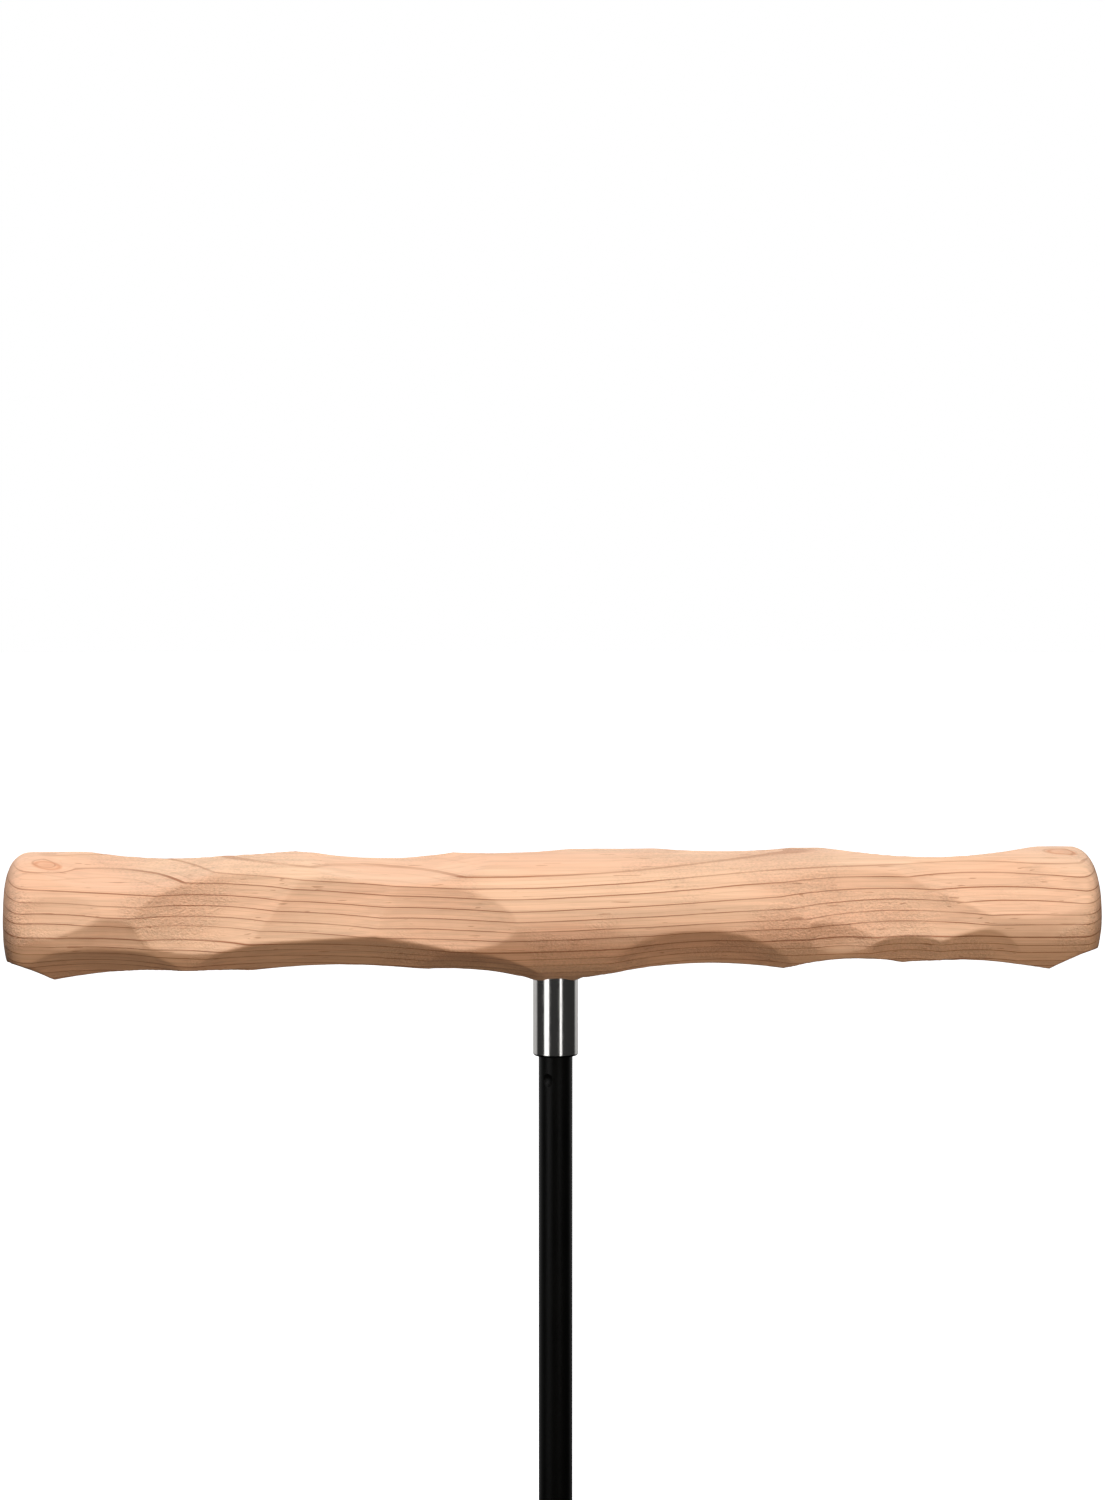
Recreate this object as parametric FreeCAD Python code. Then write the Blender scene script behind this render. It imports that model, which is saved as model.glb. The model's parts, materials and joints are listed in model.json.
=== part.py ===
"""Bird T-stand: a carved wooden perch on a telescoping pole with a folding X-shaped base."""
import FreeCAD, Part
import math
import os

V = FreeCAD.Vector
UP = V(0, 0, 1)
RIGHT = V(1, 0, 0)

# Driving sizes, in millimetres. Floor at z = 0, pole axis on x = y = 0, perch along x.
perch_length = 457.0
perch_diameter = 55.2
perch_sag = 1.0
perch_height = 950.0
end_round_length = 10.0
end_flat_radius = 14.0

ferrule_diameter = 19.05
ferrule_length = 34.3
ferrule_seat = 2.6
ferrule_web = 4.0
ferrule_lip_round = 0.9
ferrule_grub_rise = 15.6
ferrule_grub_recess = 0.25

insert_diameter = 13.2
insert_length = 18.0
insert_thread_depth = 0.7
insert_thread_rings = 5
insert_hole_spare = 2.0

head_bolt_diameter = 8.0
head_bolt_length = 19.0
head_bolt_head_height = 4.4
head_bolt_crown = 2.2
head_bolt_key = 5.0
head_bolt_key_depth = 2.6
head_washer_thickness = 2.0

upper_tube_diameter = 14.3
upper_tube_wall = 1.4
upper_tube_length = 560.0
plug_flange = 1.5
plug_length = 44.0
plug_chamfer = 1.0
dimple_drop = 9.9
dimple_angle = 31.5
dimple_width = 5.6
dimple_depth = 0.9
guide_length = 18.0
guide_spigot = 14.0
guide_vent = 5.0
guide_chamfer = 0.8

lower_tube_wall = 1.6
pole_showing = 390.0
bush_wall = 0.705
bush_length = 40.0
bush_flange = 2.0

collar_diameter = 31.0
collar_length = 40.0
collar_lip = 4.0
collar_edge_round = 2.0
collar_grub_recess = 0.8
boss_diameter = 19.0
boss_reach = 26.0
boss_round = 1.2
clamp_drop = 15.0
clamp_screw_diameter = 8.0
pad_diameter = 7.8
pad_length = 4.2
knob_diameter = 38.0
knob_thickness = 17.0
knob_lobes = 6
knob_scallop = 11.0
knob_scallop_offset = 6.05
knob_round = 1.6
knob_neck_diameter = 17.0
knob_neck_length = 7.0
knob_neck_root = 2.0
knob_cap_depth = 3.0

bar_span = 560.0
bar_width = 32.0
bar_thickness = 5.0
bar_centre_half = 42.0
bar_end_flat = 46.0
bar_bend_radius = 14.0
bar_disc_diameter = 60.0
lower_bar_rise = 22.0
foot_sole = 6.0
foot_cover = 37.0
foot_skin = 3.5
foot_crown = 3.0
foot_round = 2.2
base_angle = 45.0

thrust_washer_thickness = 1.5
thrust_washer_inset = 1.0
pivot_diameter = 10.0
pivot_head_width = 17.0
pivot_head_height = 6.4
pivot_head_bevel = 1.4
pivot_washer_diameter = 28.0
pivot_washer_thickness = 2.0
pivot_spring_diameter = 18.1
pivot_spring_thickness = 2.2
pivot_tip_gap = 2.0

socket_flange_diameter = 58.0
socket_flange_thickness = 7.0
socket_neck_diameter = 29.0
socket_height = 62.0
socket_floor = 12.0
socket_blend = 9.0
socket_edge_round = 1.5
socket_grub_diameter = 6.0
socket_grub_drop = 16.0
socket_grub_recess = 0.4
socket_grub_turns = (0, 180)
dowel_diameter = 5.0
dowel_length = 9.0
dowel_pitch_radius = 19.0
dowel_sink = 0.5

grub_diameter = 5.0
grub_key_share = 0.5
grub_key_depth_share = 0.55
split_gap = 1.6

# Clearances. A fit is the radial room of a shaft in its hole.
fit = 0.05
press = 0.02
pad_gap = 0.15
pad_room = 0.5
lip_gap = 0.35
bolt_hole_room = 0.25
bolt_head_room = 0.7
lock_washer_room = 0.5
washer_bore_room = 0.2
plug_gap = 0.6
screw_gap = 0.05
knob_gap = 1.5

# Values that follow from the sizes above, from the perch down.
perch_radius = perch_diameter / 2
ferrule_top = perch_height - perch_sag - perch_radius + ferrule_seat
ferrule_mouth = ferrule_top - ferrule_length
ferrule_bore = upper_tube_diameter / 2 + fit
ferrule_grub_height = ferrule_mouth + ferrule_grub_rise
head_bolt_head_diameter = 2 * (ferrule_bore - bolt_head_room)
head_washer_diameter = 2 * (ferrule_bore - lock_washer_room)
web_bottom = ferrule_top - ferrule_web
head_washer_bottom = web_bottom - head_washer_thickness
head_bottom = head_washer_bottom - head_bolt_head_height

plug_top = head_bottom - plug_gap
upper_tube_top = plug_top - plug_flange
upper_tube_bottom = upper_tube_top - upper_tube_length
upper_tube_bore = upper_tube_diameter / 2 - upper_tube_wall
dimple_height = ferrule_mouth - dimple_drop

lower_tube_top = perch_height - pole_showing
bush_bore = upper_tube_diameter / 2 + fit
lower_tube_bore = bush_bore + bush_wall + press
lower_tube_diameter = 2 * (lower_tube_bore + lower_tube_wall)
collar_top = lower_tube_top + bush_flange + collar_lip
collar_bottom = collar_top - collar_length
clamp_height = lower_tube_top - clamp_drop
pad_end = upper_tube_diameter / 2 + pad_gap + pad_length
knob_face = boss_reach + knob_gap
knob_back = knob_face + knob_neck_length
knob_outer = knob_back + knob_thickness
screw_end = knob_outer - knob_cap_depth

upper_bar_rise = lower_bar_rise + bar_thickness + thrust_washer_thickness
socket_bottom = upper_bar_rise + bar_thickness
socket_top = socket_bottom + socket_height
socket_grub_height = socket_top - socket_grub_drop
lower_tube_bottom = socket_bottom + socket_floor
spring_low = lower_bar_rise - pivot_washer_thickness - pivot_spring_thickness


def rod(radius, length, start, direction=UP):
    return Part.makeCylinder(radius, length, start, direction)


def tube(outer, inner, length, start, direction=UP):
    return rod(outer, length, start, direction).cut(rod(inner, length, start, direction))


def turned(points):
    """A solid turned about the pole axis from (radius, height) points."""
    corners = [V(r, 0, z) for r, z in points]
    face = Part.Face(Part.makePolygon(corners + corners[:1]))
    return face.revolve(V(0, 0, 0), UP, 360)


def aim_at(turn):
    """The level direction at a turn in degrees from the right."""
    return V(math.cos(math.radians(turn)), math.sin(math.radians(turn)), 0)


def hexagon(across_flats, length, start, direction=UP):
    """A hexagonal prism for bolt heads and key sockets."""
    reach = across_flats / math.sqrt(3)
    corners = [aim_at(60 * i) * reach for i in range(7)]
    prism = Part.Face(Part.makePolygon(corners)).extrude(V(0, 0, length))
    prism.Placement = FreeCAD.Placement(start, FreeCAD.Rotation(UP, direction))
    return prism


def edges_where(shape, test):
    return [e for e in shape.Edges if test(e)]


def level_circle(edge, height, radius=None):
    """Whether an edge is a level circle at this height, and of this radius if one is given."""
    if not isinstance(edge.Curve, Part.Circle):
        return False
    box = edge.BoundBox
    level = abs(box.ZMin - height) < 1e-4 and box.ZLength < 1e-4
    return level and (radius is None or abs(edge.Curve.Radius - radius) < 1e-4)


def split_washer(outer, inner, thickness, start):
    """A spring washer: a ring with one saw cut through it."""
    ring = tube(outer, inner, thickness, start)
    saw = Part.makeBox(outer, split_gap, thickness, start + V(0, -split_gap / 2, 0))
    return ring.cut(saw)


def grub_screw(diameter, length, start, direction):
    """A headless screw with a key socket in the end at start, running along direction."""
    body = rod(diameter / 2 - press, length, start, direction)
    key = hexagon(diameter * grub_key_share, length * grub_key_depth_share, start, direction)
    return body.cut(key)


# The perch. Each scoop is one stroke of a curved blade: where it lies along the perch as a
# share of the half length, how far round it is from the front (90 is the top), how deep its
# floor lies under the surface of the blank, the radius of its sweep and how far it is skewed.
front_scoops = [
    (-0.60, 9, 5.5, 84, 34),
    (-0.43, 7, 4.8, 120, 36),
    (-0.24, 4, 3.8, 130, -30),
    (0.59, 13, 5.0, 95, -44),
    (0.79, 32, 4.4, 95, -44),
    (0.52, -10, 1.8, 60, 10),
    (-0.90, 6, 1.6, 110, 10),
    (-0.82, -15, 1.3, 130, 6),
    (-0.40, -52, 6.3, 260, 0),
    (-0.19, -64, 4.6, 120, -10),
    (0.26, -48, 5.2, 120, -6),
    (0.64, -35, 2.2, 50, 0),
    (0.76, -35, 2.2, 64, 0),
    (-0.82, -56, 4.4, 110, -6),
]
top_scoops = [
    (-0.77, 60, 4.8, 180, 14),
    (-0.66, 108, 6.2, 250, 0),
    (-0.29, 64, 4.8, 190, -6),
    (-0.32, 110, 6.5, 180, 0),
    (-0.11, 98, 3.0, 250, 0),
    (0.31, 96, 2.4, 300, 0),
    (0.69, 106, 8.2, 165, 0),
    (-1.02, 75, 2.6, 85, 0),
    (1.02, 70, 3.2, 90, 0),
]
bottom_scoops = [
    (-0.67, -92, 6.6, 300, 0),
    (-0.40, -90, 7.0, 320, 0),
    (-0.21, -90, 4.8, 150, 0),
    (0.28, -90, 6.8, 240, 0),
    (0.54, -90, 9.5, 95, 0),
    (0.72, -90, 8.2, 200, 0),
    (-1.143, -80, 12.9, 120, 0),
    (1.197, -78, 17.0, 150, 0),
]
# The back is worked with the same strokes as the front, from the other end.
back_scoops = [
    (-along, 180 - around, depth, sweep, skew)
    for along, around, depth, sweep, skew in front_scoops
]
drum_reach = 2.2 * perch_diameter


def scoop(along, around, depth, sweep, skew):
    """The blade's swept drum for one stroke, standing outside the perch."""
    turn = math.radians(around)
    lean = math.radians(skew)
    outward = V(0, -math.cos(turn), math.sin(turn))
    sideways = V(0, math.sin(turn), math.cos(turn))
    axis = sideways * math.cos(lean) + RIGHT * math.sin(lean)
    floor = perch_radius - depth
    centre = V(along * perch_length / 2, 0, perch_height) + outward * (floor + sweep)
    return rod(sweep, drum_reach, centre - axis * (drum_reach / 2), axis)


def round_end(side):
    """A quarter oval from the side of the blank to its flat end."""
    half = perch_length / 2
    pull = 4 / 3 * (math.sqrt(2) - 1)
    shoulder = half - end_round_length
    drop = perch_radius - end_flat_radius
    curve = Part.BezierCurve()
    curve.setPoles([
        V(side * shoulder, 0, perch_radius),
        V(side * (shoulder + pull * end_round_length), 0, perch_radius),
        V(side * half, 0, end_flat_radius + pull * drop),
        V(side * half, 0, end_flat_radius),
    ])
    return curve.toShape()


def perch():
    half = perch_length / 2
    shoulder = half - end_round_length
    right_end = round_end(1)
    left_end = round_end(-1)
    crown = Part.makeLine(V(-shoulder, 0, perch_radius), V(shoulder, 0, perch_radius))
    right_face = Part.makeLine(V(half, 0, end_flat_radius), V(half, 0, 0))
    left_face = Part.makeLine(V(-half, 0, 0), V(-half, 0, end_flat_radius))
    core = Part.makeLine(V(half, 0, 0), V(-half, 0, 0))
    outline = Part.Wire([left_face, left_end, crown, right_end, right_face, core])
    body = Part.Face(outline).revolve(V(0, 0, 0), RIGHT, 360)
    body.translate(V(0, 0, perch_height - perch_sag))
    for stroke in front_scoops + back_scoops + top_scoops + bottom_scoops:
        body = body.cut(scoop(*stroke))
    seat = rod(ferrule_diameter / 2 + press, perch_radius, V(0, 0, ferrule_top - perch_radius))
    hole = rod(insert_diameter / 2 + press, insert_length + insert_hole_spare, V(0, 0, ferrule_top))
    return body.cut(seat).cut(hole)


def perch_insert():
    """A brass sleeve with a coarse outer thread, drawn as separate rings."""
    crest = insert_diameter / 2
    root = crest - insert_thread_depth
    body = rod(root, insert_length, V(0, 0, ferrule_top))
    pitch = insert_length / insert_thread_rings
    for i in range(insert_thread_rings):
        middle = ferrule_top + (i + 0.5) * pitch
        low = middle - pitch / 4
        high = middle + pitch / 4
        ring = turned([(0, low), (root, low), (crest, middle), (root, high), (0, high)])
        body = body.fuse(ring)
    bore = rod(head_bolt_diameter / 2, insert_length, V(0, 0, ferrule_top))
    return body.cut(bore).removeSplitter()


def ferrule():
    body = rod(ferrule_diameter / 2, ferrule_length, V(0, 0, ferrule_mouth))
    rim = edges_where(body, lambda e: level_circle(e, ferrule_mouth))
    body = body.makeFillet(ferrule_lip_round, rim)
    body = body.cut(rod(ferrule_bore, web_bottom - ferrule_mouth, V(0, 0, ferrule_mouth)))
    body = body.cut(rod(head_bolt_diameter / 2 + bolt_hole_room, ferrule_web, V(0, 0, web_bottom)))
    grub = rod(grub_diameter / 2, ferrule_diameter, V(0, 0, ferrule_grub_height), RIGHT)
    return body.cut(grub)


def ferrule_bolt():
    head = rod(head_bolt_head_diameter / 2, head_bolt_head_height, V(0, 0, head_bottom))
    crown = edges_where(head, lambda e: level_circle(e, head_bottom))
    head = head.makeFillet(head_bolt_crown, crown)
    shank = rod(head_bolt_diameter / 2 - press, head_bolt_length, V(0, 0, head_washer_bottom))
    key = hexagon(head_bolt_key, head_bolt_key_depth, V(0, 0, head_bottom))
    return head.fuse(shank).cut(key).removeSplitter()


def ferrule_lock_washer():
    bore = head_bolt_diameter / 2 + washer_bore_room
    return split_washer(head_washer_diameter / 2, bore, head_washer_thickness, V(0, 0, head_washer_bottom))


def ferrule_grub_screw():
    outer_end = ferrule_diameter / 2 - ferrule_grub_recess
    length = outer_end - ferrule_bore
    return grub_screw(grub_diameter, length, V(outer_end, 0, ferrule_grub_height), RIGHT * -1)


def upper_tube():
    outer = upper_tube_diameter / 2
    body = tube(outer, upper_tube_bore, upper_tube_length, V(0, 0, upper_tube_bottom))
    ball = (dimple_width * dimple_width / 4 + dimple_depth * dimple_depth) / (2 * dimple_depth)
    for turn in (270 - dimple_angle, 90 - dimple_angle):
        centre = aim_at(turn) * (outer - dimple_depth + ball) + V(0, 0, dimple_height)
        body = body.cut(Part.makeSphere(ball, centre))
    return body


def top_plug():
    flange = rod(upper_tube_diameter / 2, plug_flange, V(0, 0, upper_tube_top))
    shank = rod(upper_tube_bore - press, plug_length, V(0, 0, upper_tube_top - plug_length))
    tip = edges_where(shank, lambda e: level_circle(e, upper_tube_top - plug_length))
    return flange.fuse(shank.makeChamfer(plug_chamfer, tip)).removeSplitter()


def tube_guide():
    low = upper_tube_bottom - guide_length
    body = rod(lower_tube_bore - fit, guide_length, V(0, 0, low))
    ends = edges_where(body, lambda e: level_circle(e, low))
    body = body.makeChamfer(guide_chamfer, ends)
    body = body.fuse(rod(upper_tube_bore - press, guide_spigot, V(0, 0, upper_tube_bottom)))
    vent = rod(guide_vent / 2, guide_length + guide_spigot, V(0, 0, low))
    return body.cut(vent).removeSplitter()


def pad_window():
    """The hole on the right through which the clamp's pad reaches the sliding tube."""
    return rod(pad_diameter / 2 + pad_room, collar_diameter, V(0, 0, clamp_height), RIGHT)


def lower_tube():
    length = lower_tube_top - lower_tube_bottom
    body = tube(lower_tube_diameter / 2, lower_tube_bore, length, V(0, 0, lower_tube_bottom))
    return body.cut(pad_window())


def tube_bush():
    outer = bush_bore + bush_wall
    sleeve = tube(outer, bush_bore, bush_length, V(0, 0, lower_tube_top - bush_length))
    flange = tube(lower_tube_diameter / 2, bush_bore, bush_flange, V(0, 0, lower_tube_top))
    return sleeve.fuse(flange).cut(pad_window()).removeSplitter()


def clamp_collar():
    """The block round the tubes' joint, with a boss on the right for the clamp screw."""
    foot = V(0, 0, collar_bottom)
    clamp = V(0, 0, clamp_height)
    body = rod(collar_diameter / 2, collar_length, foot)
    rims = edges_where(body, lambda e: level_circle(e, collar_bottom) or level_circle(e, collar_top))
    body = body.makeFillet(collar_edge_round, rims)
    boss = rod(boss_diameter / 2, boss_reach, clamp, RIGHT)
    mouth = edges_where(boss, lambda e: abs(e.BoundBox.XMin - boss_reach) < 1e-4)
    body = body.fuse(boss.makeFillet(boss_round, mouth)).removeSplitter()
    body = body.cut(rod(lower_tube_diameter / 2 + press, collar_length - collar_lip, foot))
    body = body.cut(rod(upper_tube_diameter / 2 + lip_gap, collar_length, foot))
    body = body.cut(rod(clamp_screw_diameter / 2 + fit, boss_reach, clamp, RIGHT))
    return body.cut(rod(grub_diameter / 2, collar_diameter, clamp, RIGHT * -1))


def collar_grub_screw():
    start = collar_diameter / 2 - collar_grub_recess
    length = start - lower_tube_diameter / 2 - press
    return grub_screw(grub_diameter, length, V(-start, 0, clamp_height), RIGHT)


def clamp_pad():
    """The pad that bears on the sliding tube, with a hollow face that follows it."""
    inner = upper_tube_diameter / 2 + pad_gap
    body = rod(pad_diameter / 2, pad_end, V(0, 0, clamp_height), RIGHT)
    return body.cut(rod(inner, 2 * pad_diameter, V(0, 0, clamp_height - pad_diameter)))


def clamp_screw():
    start = pad_end + screw_gap
    return rod(clamp_screw_diameter / 2, screw_end - start, V(start, 0, clamp_height), RIGHT)


def clamp_knob():
    """A lobed hand knob with a round neck toward the boss."""
    axis = V(0, 0, clamp_height)
    head = rod(knob_diameter / 2, knob_thickness, axis + RIGHT * knob_back, RIGHT)
    for i in range(knob_lobes):
        turn = 2 * math.pi * (i + 0.5) / knob_lobes
        away = V(0, math.cos(turn), math.sin(turn)) * (knob_diameter / 2 + knob_scallop_offset)
        head = head.cut(rod(knob_scallop, knob_thickness, axis + away + RIGHT * knob_back, RIGHT))
    head = head.makeFillet(knob_round, head.Edges)
    face = axis + RIGHT * knob_face
    neck = rod(knob_neck_diameter / 2, knob_neck_length + knob_neck_root, face, RIGHT)
    body = head.fuse(neck).removeSplitter()
    return body.cut(rod(clamp_screw_diameter / 2 + press, screw_end - knob_face, face, RIGHT))


def base_plan(thick):
    """The outline of a base bar from above: round ends and a round plate at the middle."""
    width = bar_width / 2
    straight = bar_span / 2 - width
    slab = Part.makeBox(2 * straight, bar_width, thick, V(-straight, -width, 0))
    for side in (-1, 1):
        slab = slab.fuse(rod(width, thick, V(side * straight, 0, 0)))
    return slab.fuse(rod(bar_disc_diameter / 2, thick, V(0, 0, 0))).removeSplitter()


def mirrored(points):
    return [(-x, z, r) for x, z, r in points]


def rounded_outline(points):
    """A closed wire in the xz plane through (x, z, radius) corners, an arc where there is a radius."""
    count = len(points)
    trims = []
    for i in range(count):
        x, z, radius = points[i]
        corner = V(x, 0, z)
        back = V(points[i - 1][0], 0, points[i - 1][1]) - corner
        ahead = V(points[(i + 1) % count][0], 0, points[(i + 1) % count][1]) - corner
        back.normalize()
        ahead.normalize()
        half_angle = back.getAngle(ahead) / 2
        run = radius / math.tan(half_angle)
        middle = back + ahead
        middle.normalize()
        crown = corner + middle * (radius / math.sin(half_angle) - radius)
        trims.append((corner + back * run, crown, corner + ahead * run, radius))
    edges = []
    for i in range(count):
        start, crown, end, radius = trims[i]
        if radius > 0:
            edges.append(Part.Arc(start, crown, end).toShape())
        edges.append(Part.makeLine(end, trims[(i + 1) % count][0]))
    return Part.Wire(edges)


def base_bar(rise):
    """A flat bar bent down to the feet on both sides, lying along x before it is turned."""
    foot = bar_span / 2 - bar_end_flat
    slope = math.atan2(rise - foot_sole, foot - bar_centre_half)
    shift = bar_thickness * math.tan(slope / 2)
    half = bar_span / 2
    crest = rise + bar_thickness
    toe = foot_sole + bar_thickness
    inside = bar_bend_radius
    outside = bar_bend_radius + bar_thickness
    under = [(bar_centre_half, rise, inside), (foot, foot_sole, outside), (half, foot_sole, 0)]
    over = [(bar_centre_half + shift, crest, outside), (foot + shift, toe, inside), (half, toe, 0)]
    side = under[::-1] + mirrored(under) + mirrored(over)[::-1] + over
    outline = rounded_outline(side)
    outline.translate(V(0, -bar_disc_diameter, 0))
    band = Part.Face(outline).extrude(V(0, 2 * bar_disc_diameter, 0))
    return band.common(base_plan(2 * crest)).removeSplitter()


def bar_feet(rise):
    """Two rubber caps pushed over the ends of a base bar."""
    height = foot_sole + bar_thickness + foot_crown
    inner = bar_span / 2 - foot_cover
    centre = bar_span / 2 - bar_width / 2
    radius = bar_width / 2 + foot_skin
    box = Part.makeBox(centre - inner, 2 * radius, height, V(inner, -radius, 0))
    cap = box.fuse(rod(radius, height, V(centre, 0, 0))).removeSplitter()
    rims = edges_where(cap, lambda e: abs(e.BoundBox.ZMin - height) < 1e-4)
    cap = cap.makeFillet(foot_round, rims)
    cap = cap.cut(base_bar(rise))
    other = cap.copy()
    other.rotate(V(0, 0, 0), UP, 180)
    return Part.makeCompound([cap, other])


def turned_bar(shape, angle):
    shape.rotate(V(0, 0, 0), UP, angle)
    return shape


def pivot_hole():
    return rod(pivot_diameter / 2 + fit, 2 * socket_bottom, V(0, 0, 0))


def dowel(side, grow):
    """A pin that keeps the socket from turning on the upper bar."""
    place = aim_at(base_angle + 90) * (side * dowel_pitch_radius)
    return rod(dowel_diameter / 2 + grow, dowel_length, place + V(0, 0, upper_bar_rise + dowel_sink))


def lower_base_bar():
    return turned_bar(base_bar(lower_bar_rise).cut(pivot_hole()), base_angle)


def upper_base_bar():
    body = turned_bar(base_bar(upper_bar_rise).cut(pivot_hole()), base_angle + 90)
    return body.cut(dowel(1, press)).cut(dowel(-1, press))


def locating_pins():
    return Part.makeCompound([dowel(1, 0), dowel(-1, 0)])


def thrust_washer():
    outer = bar_disc_diameter / 2 - thrust_washer_inset
    low = lower_bar_rise + bar_thickness
    return tube(outer, pivot_diameter / 2 + fit, thrust_washer_thickness, V(0, 0, low))


def pivot_washer():
    low = lower_bar_rise - pivot_washer_thickness
    return tube(pivot_washer_diameter / 2, pivot_diameter / 2 + fit, pivot_washer_thickness, V(0, 0, low))


def pivot_spring_washer():
    bore = pivot_diameter / 2 + washer_bore_room
    return split_washer(pivot_spring_diameter / 2, bore, pivot_spring_thickness, V(0, 0, spring_low))


def pivot_bolt():
    """A hexagon bolt from below, its head's corners turned off on the underside."""
    low = spring_low - pivot_head_height
    head = hexagon(pivot_head_width, pivot_head_height, V(0, 0, low))
    face = pivot_head_width * 0.47
    corner = pivot_head_width * 0.60
    side = low + pivot_head_bevel
    bevel = turned([(0, low), (face, low), (corner, side), (corner, spring_low), (0, spring_low)])
    tip = lower_tube_bottom - pivot_tip_gap
    shank = rod(pivot_diameter / 2 - press, tip - spring_low, V(0, 0, spring_low))
    return head.common(bevel).fuse(shank).removeSplitter()


def pole_socket():
    """The turned socket that carries the lower tube, with a flange on the upper bar."""
    low = socket_bottom
    step = low + socket_flange_thickness
    flange = socket_flange_diameter / 2
    neck = socket_neck_diameter / 2
    grub = V(0, 0, socket_grub_height)
    stepped = [(0, low), (flange, low), (flange, step), (neck, step), (neck, socket_top), (0, socket_top)]
    body = turned(stepped)
    inside = edges_where(body, lambda e: level_circle(e, step, neck))
    body = body.makeFillet(socket_blend, inside)
    rims = edges_where(body, lambda e: level_circle(e, socket_top) or level_circle(e, step, flange))
    body = body.makeFillet(socket_edge_round, rims)
    body = body.cut(rod(lower_tube_diameter / 2 + press, socket_height, V(0, 0, lower_tube_bottom)))
    body = body.cut(rod(pivot_diameter / 2, socket_floor, V(0, 0, low)))
    for turn in socket_grub_turns:
        body = body.cut(rod(socket_grub_diameter / 2, socket_neck_diameter, grub, aim_at(turn)))
    return body.cut(dowel(1, press)).cut(dowel(-1, press))


def socket_grub_screws():
    start = socket_neck_diameter / 2 - socket_grub_recess
    length = start - lower_tube_diameter / 2 - press
    screws = []
    for turn in socket_grub_turns:
        out = aim_at(turn)
        mouth = out * start + V(0, 0, socket_grub_height)
        screws.append(grub_screw(socket_grub_diameter, length, mouth, out * -1))
    return Part.makeCompound(screws)


pieces = {
    "perch": perch,
    "perch_insert": perch_insert,
    "ferrule": ferrule,
    "ferrule_bolt": ferrule_bolt,
    "ferrule_lock_washer": ferrule_lock_washer,
    "ferrule_grub_screw": ferrule_grub_screw,
    "upper_tube": upper_tube,
    "top_plug": top_plug,
    "tube_guide": tube_guide,
    "lower_tube": lower_tube,
    "tube_bush": tube_bush,
    "clamp_collar": clamp_collar,
    "collar_grub_screw": collar_grub_screw,
    "clamp_pad": clamp_pad,
    "clamp_screw": clamp_screw,
    "clamp_knob": clamp_knob,
    "pole_socket": pole_socket,
    "socket_grub_screws": socket_grub_screws,
    "locating_pins": locating_pins,
    "pivot_bolt": pivot_bolt,
    "pivot_washer": pivot_washer,
    "pivot_spring_washer": pivot_spring_washer,
    "thrust_washer": thrust_washer,
    "upper_base_bar": upper_base_bar,
    "lower_base_bar": lower_base_bar,
    "upper_bar_feet": lambda: turned_bar(bar_feet(upper_bar_rise), base_angle + 90),
    "lower_bar_feet": lambda: turned_bar(bar_feet(lower_bar_rise), base_angle),
}

os.makedirs("parts", exist_ok=True)
for name, make in pieces.items():
    shape = make()
    shape.exportStep("parts/" + name + ".step")
    box = shape.BoundBox
    print(name, len(shape.Solids), shape.isValid(), round(shape.Volume / 1000, 2), "cm3",
          [round(v, 1) for v in (box.XMin, box.XMax, box.YMin, box.YMax, box.ZMin, box.ZMax)])
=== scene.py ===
"""Bird T-stand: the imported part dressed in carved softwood, polished steel and black coatings."""
import json
import math

import bpy
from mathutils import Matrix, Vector

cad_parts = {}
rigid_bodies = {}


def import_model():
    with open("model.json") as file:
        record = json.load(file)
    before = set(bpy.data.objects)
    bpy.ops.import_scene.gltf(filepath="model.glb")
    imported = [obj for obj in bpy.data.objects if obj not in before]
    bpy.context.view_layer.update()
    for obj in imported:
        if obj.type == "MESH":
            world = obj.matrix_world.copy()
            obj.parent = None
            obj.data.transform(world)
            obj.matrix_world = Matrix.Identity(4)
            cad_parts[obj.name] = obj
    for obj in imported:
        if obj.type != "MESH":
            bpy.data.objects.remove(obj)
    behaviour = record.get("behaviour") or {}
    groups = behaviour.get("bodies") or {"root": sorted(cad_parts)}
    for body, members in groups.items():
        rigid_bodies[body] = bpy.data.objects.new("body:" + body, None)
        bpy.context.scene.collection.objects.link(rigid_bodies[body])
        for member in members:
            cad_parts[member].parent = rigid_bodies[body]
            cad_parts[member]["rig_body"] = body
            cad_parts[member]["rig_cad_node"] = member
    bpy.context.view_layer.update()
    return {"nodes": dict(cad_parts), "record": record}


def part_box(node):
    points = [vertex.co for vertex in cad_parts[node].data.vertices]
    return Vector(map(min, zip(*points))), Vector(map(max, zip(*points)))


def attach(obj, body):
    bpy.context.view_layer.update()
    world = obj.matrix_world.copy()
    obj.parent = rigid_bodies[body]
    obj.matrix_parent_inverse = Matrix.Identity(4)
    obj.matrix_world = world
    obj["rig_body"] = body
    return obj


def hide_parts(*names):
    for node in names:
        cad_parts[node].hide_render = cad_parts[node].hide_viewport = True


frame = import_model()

bl_info = {
    "name": "Bird T-stand",
    "version": (1, 0, 0),
    "blender": (4, 5, 0),
    "location": "View3D > Sidebar > Bird stand",
    "description": "Dresses the bird T-stand with its carved perch, finishes and studio",
    "category": "Object",
}

MM = 0.001
PERCH_LOW, PERCH_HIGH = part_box("perch")
PERCH_CENTRE = (PERCH_LOW + PERCH_HIGH) / 2
PERCH_HALF = (PERCH_HIGH.x - PERCH_LOW.x) / 2
FERRULE_LOW, FERRULE_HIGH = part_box("ferrule")
FERRULE_RADIUS = (FERRULE_HIGH.x - FERRULE_LOW.x) / 2

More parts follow.
